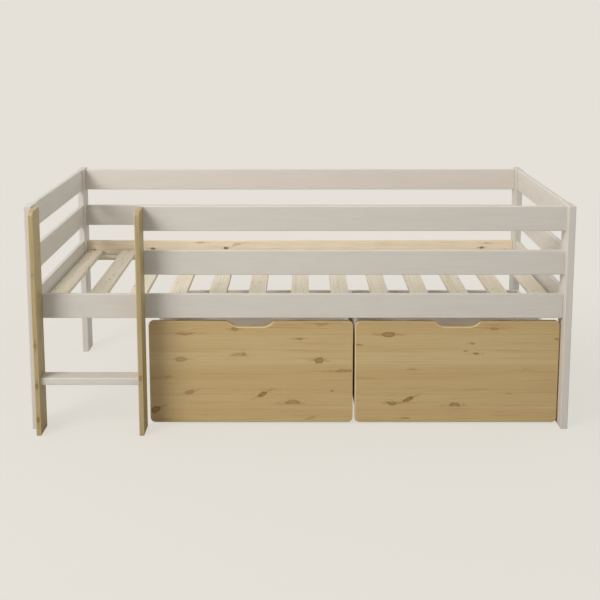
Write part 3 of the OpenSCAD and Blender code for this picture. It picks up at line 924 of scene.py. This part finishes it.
@cache
def board_tree() -> Tree:
    """The tree for equal boards at an equal pitch, with a wider gap after some of them. It is made once.

    Returns:
        The tree.
    """
    bench, given, out = new_tree("equal boards", Size="Vector", First="Vector", Step="Vector", Count="Int",
        Gap_after="Int", Gap="Vector", Along="Vector", Across="Vector", Through="Vector", End_ease="Float",
        Spread="Float", Seed="Int", Finish="Material")
    board = bench.add("GeometryNodeMeshCube", given["Size"])
    ends = bench.add("GeometryNodeInputMeshEdgeVertices").outputs
    line = bench.vector("NORMALIZE", bench.vector("SUBTRACT", ends[2], ends[3]))
    long_edge = bench.math("ABSOLUTE", bench.vector("DOT_PRODUCT", line, given["Along"]))
    weight = bench.math("MAXIMUM", bench.math("GREATER_THAN", long_edge, 0.5), given["End ease"])
    eased = bench.store(board, "bevel_weight_edge", weight, "FLOAT", "EDGE")
    here = bench.add("GeometryNodeInputPosition").outputs[0]
    axes = [given[name] for name in ("Along", "Across", "Through")]
    own = bench.gather(*(bench.vector("DOT_PRODUCT", here, axis) for axis in axes))
    marked = bench.store(eased, "grain", own)
    row = bench.add("GeometryNodeMeshLine", given["Count"], None, given["First"], given["Step"],
        mode="OFFSET", count_mode="TOTAL")
    number = bench.add("GeometryNodeInputIndex").outputs[0]
    later = bench.math("GREATER_THAN", number, bench.math("SUBTRACT", given["Gap after"], 0.5))
    wider = bench.vector("MULTIPLY", given["Gap"], bench.gather(later, later, later))
    moved = bench.add("GeometryNodeSetPosition", row, None, None, wider)
    chance = bench.add("FunctionNodeRandomValue", (-1, -1, -1), (1, 1, 1), data_type="FLOAT_VECTOR")
    bench.put(chance, ID=number, Seed=given["Seed"])
    spread = bench.vector("MULTIPLY", chance.outputs[0], bench.gather(*[given["Spread"]] * 3))
    placed = bench.add("GeometryNodeInstanceOnPoints", bench.store(moved, "spread", spread), None, marked)
    real = bench.add("GeometryNodeRealizeInstances", placed)
    shifted = bench.store(real, "grain", bench.vector("ADD", bench.read("grain"), bench.read("spread")))
    bench.join(bench.add("GeometryNodeSetMaterial", shifted, None, given["Finish"]), out.inputs[0])
    return bench.tree


@dataclass
class BoardRow:
    """A row of equal boards that stands for CAD nodes of equal size."""

    name: str
    nodes: tuple[str, ...]
    finish: Finish
    grain: Grain
    body: str = "frame"
    ease: float = 3 * MM
    end_ease: float = 0.4
    spread: float = 2.0
    seed: int = 1
    gap_after: int = 99
    gap: Vector = field(default_factory=Vector)
    # a lighter finish for the rounded edges: a painted highlight
    rim: Finish | None = None

    def build(self) -> Piece:
        """Makes the row where its CAD nodes stand.

        Returns:
            The piece.
        """
        low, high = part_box(self.nodes[0])
        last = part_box(self.nodes[-1])[0]
        count = len(self.nodes)
        step = (last - low - (self.gap if count > self.gap_after else Vector())) / max(1, count - 1)
        piece = put_in(self.name, bpy.data.meshes.new(self.name))
        along, across, through = (list(map(float, axis)) for axis in self.grain.value)
        run_tree(piece, board_tree(), Size=list(high - low), First=list((low + high) / 2), Step=list(step),
            Count=count, Gap_after=self.gap_after, Gap=list(self.gap), Along=along, Across=across,
            Through=through, End_ease=self.end_ease, Spread=self.spread, Seed=self.seed,
            Finish=material_of(self.finish))
        return finish_piece(piece, self.finish, self.body, self.nodes, self.ease, self.rim)


@dataclass(frozen=True)
class Stand:
    """Where one fastener stands: its head's middle, which way its head looks, and its sizes."""

    head: Vector
    out: Vector
    radius: float
    length: float


def islands_of(node: str) -> list[np.ndarray]:
    """The points of each loose shape in a CAD node.

    Args:
        node: the node.

    Returns:
        One array of points for each shape.
    """
    work = bmesh.new()
    work.from_mesh(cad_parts[node].data)
    bmesh.ops.remove_doubles(work, verts=work.verts[:], dist=WELD)
    found, seen = [], set()
    for first in work.verts:
        if first in seen:
            continue
        seen.add(first)
        heap, island = [first], []
        while heap:
            vert = heap.pop()
            island.append(vert.co[:])
            fresh = {edge.other_vert(vert) for edge in vert.link_edges} - seen
            seen |= fresh
            heap += fresh
        found.append(np.array(island))
    work.free()
    return found


def stands_of(node: str, inward: bool = False) -> list[Stand]:
    """Finds the fasteners of a CAD node.

    Args:
        node: the node.
        inward: True if both ends are alike and the one to look at faces the middle of the bed.

    Returns:
        One Stand for each fastener.
    """
    found = []
    skin = 0.2 * MM
    for points in islands_of(node):
        low, high = points.min(0), points.max(0)
        axis = int(np.argmax(high - low))
        middle = (low + high) / 2
        sides = [a for a in range(3) if a != axis]
        reach = np.linalg.norm(points[:, sides] - middle[sides], axis=1)
        top = reach[points[:, axis] > high[axis] - skin].max(initial=0.0)
        bottom = reach[points[:, axis] < low[axis] + skin].max(initial=0.0)
        up = middle[axis] < 0 if inward else top > bottom
        head, out = middle.copy(), np.zeros(3)
        head[axis] = high[axis] if up else low[axis]
        out[axis] = 1.0 if up else -1.0
        found.append(Stand(Vector(head), Vector(out), float(max(top, bottom)), float((high - low)[axis])))
    return found


def cutters(bench: Bench, drive: Drive, wide: Socket, deep: Socket) -> list[Node]:
    """The shapes that are cut out of a fastener's head, their middles at its top.

    The two slots of a cross differ in depth, because equal ones leave small cracks in the cut.

    Args:
        bench: the tree's bench.
        drive: kind of recess.
        wide: radius of the head.
        deep: depth of the recess.

    Returns:
        One shape, or two for a cross.
    """
    both = bench.times(deep, 2.0)
    if drive is Drive.HEX:
        return [bench.add("GeometryNodeMeshCylinder", 6, 1, 1, bench.times(wide, 0.5), both)]
    span = bench.times(wide, 1.15 if drive is Drive.CROSS else 2.4)
    slim = bench.times(wide, 0.26)
    sizes = [bench.gather(span, slim, both)]
    if drive is Drive.CROSS:
        sizes.append(bench.gather(slim, span, bench.times(deep, 1.8)))
    return [bench.add("GeometryNodeMeshCube", size) for size in sizes]


@cache
def fastener_tree(drive: Drive) -> Tree:
    """The tree that makes one fastener, and stands it at every point: head, recess, shank and tip.

    Args:
        drive: what the head is turned by. Each kind has its own tree, made once.

    Returns:
        The tree.
    """
    bench, given, out = new_tree(f"{drive.value} fasteners", Head_radius="Float", Head_height="Float",
        Shank_radius="Float", Length="Float", Taper="Float", Recess="Float", Proud="Float", Seed="Int",
        Finish="Material")
    head_sides, shank_sides, tip_share, tip_flat, weld = 20, 12, 0.16, 0.2, 0.02 * MM
    wide, high, shank = given["Head radius"], given["Head height"], given["Shank radius"]
    head = bench.add("GeometryNodeMeshCone", head_sides, 1, 1, wide, bench.times(wide, given["Taper"]), high)
    flip = bench.add("GeometryNodeTransform", head, None, (math.pi, 0, 0))
    cut = bench.add("GeometryNodeMeshBoolean", flip, operation="DIFFERENCE")
    for cutter in cutters(bench, drive, wide, given["Recess"]):
        bench.join(cutter, cut.inputs[1])
    clean = bench.add("GeometryNodeMergeByDistance", cut, None, weld)
    under = bench.math("SUBTRACT", given["Length"], high)
    body_long, tip_long = bench.times(under, 1 - tip_share), bench.times(under, tip_share)
    body = bench.add("GeometryNodeMeshCylinder", shank_sides, 1, 1, shank, body_long)
    body = bench.lift(body, bench.times(bench.times_plus(body_long, 0.5, high), -1.0))
    tip = bench.add("GeometryNodeMeshCone", shank_sides, 1, 1, bench.times(shank, tip_flat), shank, tip_long)
    tip = bench.lift(tip, bench.times(given["Length"], -1.0))
    whole = bench.add("GeometryNodeJoinGeometry")
    for shape in (clean, body, tip):
        bench.join(shape, whole.inputs[0])
    turn = bench.add("FunctionNodeAlignRotationToVector", None, None, bench.read("out"), axis="Z")
    chance = bench.add("FunctionNodeRandomValue", data_type="FLOAT")
    bench.put(chance, ID=bench.add("GeometryNodeInputIndex"), Seed=given["Seed"])
    spin = bench.gather(0.0, 0.0, bench.times(chance.outputs[1], math.pi))
    turned = bench.add("FunctionNodeRotateRotation", turn, spin, rotation_space="LOCAL")
    proud = bench.lift(whole, given["Proud"])
    placed = bench.add("GeometryNodeInstanceOnPoints", given["Geometry"], None, proud, None, None, turned)
    real = bench.add("GeometryNodeRealizeInstances", placed)
    bench.join(bench.add("GeometryNodeSetMaterial", real, None, given["Finish"]), out.inputs[0])
    return bench.tree


@dataclass
class FastenerSet:
    """Fasteners of one kind, standing where the CAD's stand."""

    name: str
    node: str
    drive: Drive
    body: str = "frame"
    finish: Finish = ZINC
    head_height: float = 2.4 * MM
    shank: float = 2.2 * MM
    taper: float = 0.5
    recess: float = 1.3 * MM
    proud: float = 0.15 * MM
    inward: bool = False
    seed: int = 3

    def build(self) -> Piece:
        """Makes the set, one run of the tree for each length.

        Returns:
            The piece.
        """
        stands = stands_of(self.node, self.inward)
        pieces = []
        for length in sorted({round(s.length, 5) for s in stands}):
            group = [s for s in stands if round(s.length, 5) == length]
            points = bpy.data.meshes.new(self.name)
            points.from_pydata([s.head for s in group], [], [])
            layer = points.attributes.new("out", "FLOAT_VECTOR", "POINT")
            layer.data.foreach_set("vector", np.array([s.out for s in group], np.float32).ravel())
            piece = put_in(self.name, points)
            run_tree(piece, fastener_tree(self.drive), Head_radius=group[0].radius,
                Head_height=self.head_height, Shank_radius=self.shank, Length=length, Taper=self.taper,
                Recess=self.recess, Proud=self.proud, Seed=self.seed, Finish=material_of(self.finish))
            pieces.append(piece)
        keep, *others = pieces
        if others:
            work = bmesh.new()
            for piece in pieces:
                work.from_mesh(piece.data)
            work.to_mesh(keep.data)
            work.free()
            for piece in others:
                bpy.data.objects.remove(piece)
        return finish_piece(keep, self.finish, self.body, (self.node,))


# ---------------------------------------------------------------- sub-assemblies

@dataclass
class CornerPosts:
    """The four corner posts, drilled for the bolts and long screws."""

    ease: float = 2.5 * MM
    first_shift: float = 1.3

    def build(self) -> list[Piece]:
        """Makes the posts."""
        return [
            copy_node(f"corner_post_{row}_{end}", f"post_{row}_{end}", PAINT, "frame", Grain.Z, self.ease,
                self.first_shift + i + 2 * j)
            for i, row in enumerate(("front", "back")) for j, end in enumerate(ENDS)]


@dataclass
class Railings:
    """Side rails and end rails: the upper ones plain, the bottom side rails drilled for the bolts."""

    ease: float = 2.5 * MM

    def build(self) -> list[Piece]:
        """Makes the rails.

        Returns:
            The pieces.
        """
        plain = [
            ("front_rails_upper", ("front_rail_middle", "front_rail_top"), PAINT, Grain.X, 4),
            ("back_rail_mid", ("back_rail_middle",), PAINT, Grain.X, 5),
            ("back_rail_upper", ("back_rail_top",), PAINT_BACK, Grain.X, 6)]
        for seed, end in enumerate(ENDS, 8):
            nodes = tuple(f"end_rail_{end}_{level}" for level in ("bottom", "middle", "top"))
            plain.append((f"end_rails_{end}", nodes, PAINT, Grain.Y, seed))
        # the rounded edges of these rails get the lighter paint, a painted highlight
        pieces = [
            BoardRow(name, nodes, finish, grain, seed=seed, rim=PAINT_HIGHLIGHT_EDGES).build()
            for name, nodes, finish, grain, seed in plain]
        for row, finish, shift in (("front", PAINT, 5.1), ("back", BACK_PINE, 0.0)):
            pieces.append(copy_node(f"{row}_rail_lower", f"{row}_rail_bottom", finish, "frame", Grain.X,
                self.ease, shift))
        return pieces


@dataclass
class SlatBase:
    """Two ledges, thirteen slats and the two tapes that hold the slats at their pitch."""

    slats: int = 13
    roll: int = 6
    roll_gap: float = 12 * MM
    tape_wide: float = 14 * MM
    tape_thick: float = 0.8 * MM
    tape_inset: float = 10 * MM
    tape_margin: float = 2 * MM
    bow: float = 4 * MM
    ledge_ease: float = 1.5 * MM
    slat_ease: float = 2 * MM

    def names(self) -> tuple[str, ...]:
        """The slats' CAD nodes, from the ladder's end on."""
        return tuple(f"slat_{i:02d}" for i in range(1, self.slats + 1))

    def stations(self) -> list[list[Point]]:
        """Where a tape's section is set: place along the bed and rise, for each of its two lengths.

        Returns:
            The stations of the first and of the second length.
        """
        boxes = [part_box(name) for name in self.names()]
        lengths: list[list[Point]] = [[], []]
        for i, (low, high) in enumerate(boxes):
            found = lengths[i >= self.roll]
            found += [(low.x + self.tape_margin, 0.0), (high.x - self.tape_margin, 0.0)]
            if i + 1 not in (len(boxes), self.roll):
                span = boxes[i + 1][0].x - high.x
                found += [(high.x + span * t, self.bow * 4 * t * (1 - t)) for t in (0.25, 0.5, 0.75)]
        return lengths

    def tapes(self) -> Piece:
        """The tapes under the slats, bowed up a little between them.

        Returns:
            The piece.
        """
        low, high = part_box(self.names()[0])
        section = [(side * self.tape_wide / 2, -down * self.tape_thick)
            for side, down in ((-1, 0), (1, 0), (1, 1), (-1, 1))]
        work = bmesh.new()
        for y in (low.y + self.tape_inset, high.y - self.tape_inset):
            for stations in self.stations():
                rows = [
                    [work.verts.new((x, y + a, low.z + rise + b)) for a, b in section]
                    for x, rise in stations]
                for one, two in zip(rows, rows[1:]):
                    for k, j in ((0, 1), (1, 2), (2, 3), (3, 0)):
                        work.faces.new((one[k], one[j], two[j], two[k]))
                work.faces.new(rows[0][::-1])
                work.faces.new(rows[-1])
        bmesh.ops.recalc_face_normals(work, faces=work.faces[:])
        return finish_piece(put_in("slat_tapes", plain_mesh(work, "slat_tapes")), SLAT_TAPE, "frame", ())

    def build(self) -> list[Piece]:
        """Makes the slat base.

        Returns:
            The pieces.
        """
        ledges = BoardRow("slat_ledges", ("slat_ledge_front", "slat_ledge_back"), RAW_PINE, Grain.X_FLAT,
            ease=self.ledge_ease, seed=21)
        slats = BoardRow("slats", self.names(), RAW_PINE, Grain.Y_FLAT, ease=self.slat_ease, end_ease=0.5,
            seed=33, gap_after=self.roll, gap=Vector((self.roll_gap, 0, 0)))
        return [ledges.build(), slats.build(), self.tapes()]


@dataclass
class Ladder:
    """Two posts with a rounded front corner at the top, one step, and the spacer rings."""

    corner: float = 23 * MM
    small: float = 3.5 * MM
    ease: float = 3 * MM

    def post(self, end: str) -> Piece:
        """One ladder post.

        Args:
            end: left or right.

        Returns:
            The piece.
        """
        low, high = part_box(f"ladder_post_{end}")
        wide, tall, s, c = high.y - low.y, high.z - low.z, self.small, self.corner
        outline = (arc((s, s), s, 180, 3) + arc((wide - s, s), s, 270, 3)
            + arc((wide - s, tall - s), s, 0, 3) + arc((c, tall - c), c, 90, 10))
        mesh = plate(outline, high.x - low.x, Grain.Z, low)
        mark_grain(mesh, Grain.Z, (low + high) / 2)
        # the post's rounded edges get the lighter pine, a painted highlight
        return finish_piece(put_in(f"ladder_upright_{end}", mesh), LADDER_PINE[end], "frame",
            (f"ladder_post_{end}",), self.ease, LADDER_HIGHLIGHT_EDGES)

    def build(self) -> list[Piece]:
        """Makes the ladder."""
        # the step's rounded edges get the lighter paint, a painted highlight
        step = BoardRow("ladder_tread", ("ladder_step",), PAINT, Grain.X_FLAT, end_ease=0.0, seed=41,
            rim=PAINT_HIGHLIGHT_EDGES)
        return [*map(self.post, ENDS), step.build(),
            copy_node("spacer_rings", "ladder_spacers", BLACK_PLASTIC, "frame")]


@dataclass
class Drawer:
    """One roll-out drawer: front, box and four castors.

    The hand cut-out is cut_top wide at the edge and cut_floor at its floor. Of a wheel, tread and hub
    are the widths, and bore and rim the radii.
    """

    side: Side
    corner: float = 20 * MM
    cut_top: float = 172 * MM
    cut_floor: float = 90 * MM
    cut_deep: float = 23 * MM
    front_ease: float = 4.5 * MM
    box_ease: float = 1.0 * MM
    tread: float = 18 * MM
    hub: float = 20 * MM
    bore: float = 3.1 * MM
    rim: float = 20 * MM
    rim_round: float = 2.4 * MM
    dish: float = 1.6 * MM
    around: int = 40

    @property
    def body(self) -> str:
        """The CAD body that the drawer rides on."""
        return f"drawer_{self.side.value}"

    def copied(self, name: str, node: str, finish: Finish, *more: object) -> Piece:
        """One of this drawer's CAD pieces, copied and dressed."""
        return copy_node(f"{self.side.value}_{name}", f"{self.body}_{node}", finish, self.body, *more)

    def front(self) -> Piece:
        """The front, with rounded corners and a hand cut-out in its top edge.

        Returns:
            The piece.
        """
        low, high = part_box(f"{self.body}_front")
        wide, tall = high.x - low.x, high.z - low.z
        c, half, run = self.corner, wide / 2, (self.cut_top - self.cut_floor) / 2
        turn = 2 * math.atan(self.cut_deep / run)
        radius = run / math.sin(turn)
        swing = [turn * i / 12 for i in range(12, -1, -1)]
        start, floor = half + self.cut_floor / 2, tall - self.cut_deep
        right = [(start + radius * math.sin(a), floor + radius * (1 - math.cos(a))) for a in swing]
        left = [(2 * half - x, z) for x, z in reversed(right)]
        outline = (arc((c, c), c, 180, 10) + arc((wide - c, c), c, 270, 10)
            + arc((wide - c, tall - c), c, 0, 10) + right + left + arc((c, tall - c), c, 90, 10))
        mesh = plate(outline, high.y - low.y, Grain.X, low)
        mark_grain(mesh, Grain.X, (low + high) / 2)
        piece = put_in(f"{self.side.value}_drawer_front", mesh)
        # the front's rounded edges get the lighter pine, a painted highlight
        return finish_piece(piece, FRONT_PINE[self.side], self.body, (f"{self.body}_front",),
            self.front_ease, PINE_HIGHLIGHT_EDGES)

    def box(self) -> list[Piece]:
        """The box boards, the castor forks and their axles.

        Returns:
            The pieces.
        """
        shift = 6.0 if self.side is Side.LEFT else 9.0
        grains = {"side_left": Grain.Y, "side_right": Grain.Y, "back": Grain.X, "bottom": Grain.Y_FLAT}
        boards = [
            self.copied(f"drawer_{board}", board, BOX_BOARD, grain, self.box_ease, shift + i)
            for i, (board, grain) in enumerate(grains.items())]
        return [*boards, self.copied("castor_forks", "castor_brackets", CASTOR_STEEL),
            self.copied("castor_axles", "castor_axles", ZINC)]

    def wheel_profile(self) -> list[Point]:
        """The section of a wheel: (distance along the axle, radius), from bore to tread and back.

        Returns:
            The section's points in order.
        """
        half, hub = self.tread / 2, self.hub / 2
        web = -half + self.dish
        # the hub's end with its chamfer, the dished web, the side of the rim, its shoulder, the tread
        points = [(-hub, self.bore), (-hub, 6.4 * MM), (-hub + 0.6 * MM, 7 * MM), (web, 7.6 * MM),
            (web, 14.6 * MM), (-half, 15.4 * MM)]
        points += [
            (-half + self.rim_round * (1 - math.cos(t)), self.rim - self.rim_round * (1 - math.sin(t)))
            for t in (math.radians(15 * i) for i in range(7))]
        points.append((-half + 5.2 * MM, self.rim))
        return points + [(-x, r) for x, r in reversed(points)]

    def wheels(self, axle: str) -> Piece:
        """The two wheels of one axle line, turned about the X axis.

        Args:
            axle: front or rear.

        Returns:
            The piece.
        """
        name = f"wheels_{self.side.value}_{axle}"
        low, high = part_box(name)
        y, z = (low.y + high.y) / 2, (low.z + high.z) / 2
        profile = self.wheel_profile()
        turns = [2 * math.pi * i / self.around for i in range(self.around)]
        work = bmesh.new()
        for x in (low.x + self.hub / 2, high.x - self.hub / 2):
            rings = []
            for t in turns:
                up, ahead = math.sin(t), math.cos(t)
                rings.append([work.verts.new((x + a, y + r * ahead, z + r * up)) for a, r in profile])
            for one, two in zip(rings, rings[1:] + rings[:1]):
                for k in range(len(profile)):
                    j = (k + 1) % len(profile)
                    work.faces.new((one[k], one[j], two[j], two[k]))
        bmesh.ops.recalc_face_normals(work, faces=work.faces[:])
        piece = put_in(f"{self.side.value}_{axle}_castor_wheels", plain_mesh(work, name))
        return finish_piece(piece, WHEEL_PLASTIC, name, (name,))

    def build(self) -> list[Piece]:
        """Makes the drawer."""
        screws = FastenerSet(f"{self.side.value}_drawer_screws", f"{self.body}_screws", Drive.CROSS,
            self.body)
        return [self.front(), *self.box(), self.wheels("front"), self.wheels("rear"), screws.build()]


@dataclass
class Fixings:
    """Bolts with their barrel nuts, long screws, wood screws and dowels."""

    head: float = 4 * MM
    bolt: float = 3 * MM
    nut: float = 4.98 * MM

    def build(self) -> list[Piece]:
        """Makes the fixings of the bed frame.

        Returns:
            The pieces.
        """
        sets = (
            FastenerSet("socket_bolts", "frame_bolts", Drive.HEX, head_height=self.head, shank=self.bolt,
                taper=1.0, recess=2.6 * MM),
            FastenerSet("cross_dowel_nuts", "barrel_nuts", Drive.SLOT, head_height=self.head, shank=self.nut,
                taper=1.0, recess=1.2 * MM, proud=0.0, inward=True),
            FastenerSet("long_frame_screws", "long_screws", Drive.CROSS, head_height=3 * MM, shank=self.bolt,
                recess=1.8 * MM, seed=5),
            FastenerSet("frame_wood_screws", "wood_screws", Drive.CROSS, seed=7))
        return [*(one.build() for one in sets), copy_node("beech_dowels", "dowels", RAW_PINE, "frame")]


# ---------------------------------------------------------------- studio

@dataclass
class Studio:
    """Pale floor and backdrop, soft light all round, a soft lamp from the front left, and the camera."""

    backdrop: Triple = (229, 225, 216)
    floor_plain: Triple = (214, 210, 202)
    floor_dull: Triple = (188, 188, 188)
    floor_half: float = 40.0
    shadow_from: float = 1.1
    shadow_to: float = 2.6
    glow_near: float = 0.82
    from_right: float = 1.04
    right_hue: Triple = (0.92, 0.985, 1.0)
    from_left: float = 1.3
    from_back: float = 0.5
    all_round: float = 0.13
    lamp_power: float = 288.0
    lamp_hue: Triple = (1.0, 0.995, 0.98)
    lamp_distance: float = 7.0
    lamp_size: float = 2.8
    lamp_from: Triple = (-0.55, -0.6, 0.58)
    lamp_aim: Triple = (0.0, 0.0, 0.45)
    lens: float = 59.86
    shift_y: float = -0.22
    tilt: float = 8.525
    distance: float = 3.662
    height: float = 1.568
    posts_front: float = -0.4665

    def floor(self) -> None:
        """The floor: the backdrop's colour and a soft shadow to the camera, a darker grey to the light."""
        h = self.floor_half
        mesh = bpy.data.meshes.new("studio_floor")
        mesh.from_pydata([(-h, -h, 0), (h, -h, 0), (h, h, 0), (-h, h, 0)], [], [(0, 1, 2, 3)])
        material = bpy.data.materials.new("studio floor")
        material.use_nodes = True
        bench = Bench(material.node_tree)
        bench.tree.nodes.clear()
        plain = bench.add("ShaderNodeBsdfDiffuse", rgb(*self.floor_plain))
        dull = bench.add("ShaderNodeBsdfDiffuse", rgb(*self.floor_dull))
        glow = bench.add("ShaderNodeEmission", rgb(*self.backdrop), 1.0)
        away = bench.vector("LENGTH", bench.place())
        far = bench.ease(away, self.shadow_from, self.shadow_to, self.glow_near, 1.0)
        seen = bench.add("ShaderNodeMixShader", far, plain, glow)
        ray = bench.add("ShaderNodeLightPath").outputs["Is Camera Ray"]
        bench.add("ShaderNodeOutputMaterial", bench.add("ShaderNodeMixShader", ray, dull, seen))
        mesh.materials.append(material)
        put_in("studio_floor", mesh)

    def world(self) -> None:
        """The backdrop's colour to the camera and in gloss, and soft light from the sides and the back."""
        world = bpy.data.worlds.new("studio")
        world.use_nodes = True
        bench = Bench(world.node_tree)
        bench.tree.nodes.clear()
        paths = bench.add("ShaderNodeLightPath").outputs
        seen = bench.math("MAXIMUM", paths["Is Camera Ray"], paths["Is Glossy Ray"])
        seen = bench.math("MAXIMUM", seen, paths["Is Transmission Ray"])
        way = bench.parts(bench.add("ShaderNodeTexCoord").outputs["Generated"])
        light: object = self.all_round
        ways = (way[0], bench.times(way[0], -1.0), way[1])
        for towards, power in zip(ways, (self.from_right, self.from_left, self.from_back)):
            light = bench.times_plus(bench.math("MAXIMUM", towards, 0.0), power, light)
        hue = bench.blend(bench.ease(way[0], 0.0, 1.0), (1.0, 1.0, 1.0, 1.0), (*self.right_hue, 1.0))
        even = bench.add("ShaderNodeBackground", hue, light)
        shown = bench.add("ShaderNodeBackground", rgb(*self.backdrop), 1.0)
        bench.add("ShaderNodeOutputWorld", bench.add("ShaderNodeMixShader", seen, even, shown))
        bpy.context.scene.world = world

    def lamp(self) -> None:
        """The large soft lamp."""
        data = bpy.data.lights.new("soft key", "AREA")
        data.energy = self.lamp_power
        data.size = self.lamp_size
        data.color = self.lamp_hue
        lamp = put_in("soft key", data)
        way = Vector(self.lamp_from).normalized()
        lamp.location = Vector(self.lamp_aim) + way * self.lamp_distance
        lamp.rotation_euler = way.to_track_quat("Z", "Y").to_euler()

    def camera(self) -> None:
        """The camera, from the fit of the photographed bed."""
        data = bpy.data.cameras.new("camera")
        data.lens = self.lens
        data.sensor_width = 36.0
        data.shift_y = self.shift_y
        camera = put_in("camera", data)
        camera.location = (0.0, self.posts_front - self.distance, self.height)
        camera.rotation_euler = (math.radians(90 - self.tilt), 0.0, 0.0)
        bpy.context.scene.camera = camera

    def build(self) -> None:
        """Sets up the studio."""
        for part in (self.floor, self.world, self.lamp, self.camera):
            part()
        bpy.context.scene.view_settings.view_transform = "Standard"


def main() -> None:
    """Builds the bed piece by piece, then the studio."""
    logging.basicConfig(level=logging.INFO, format="%(message)s")
    drawers = (Drawer(side) for side in Side)
    for part in (CornerPosts(), Railings(), SlatBase(), Ladder(), *drawers, Fixings()):
        for piece in part.build():
            log.info("%s: %s, %d faces", type(part).__name__, piece.name, len(piece.data.polygons))
    Studio().build()


if __name__ == "__main__":
    main()
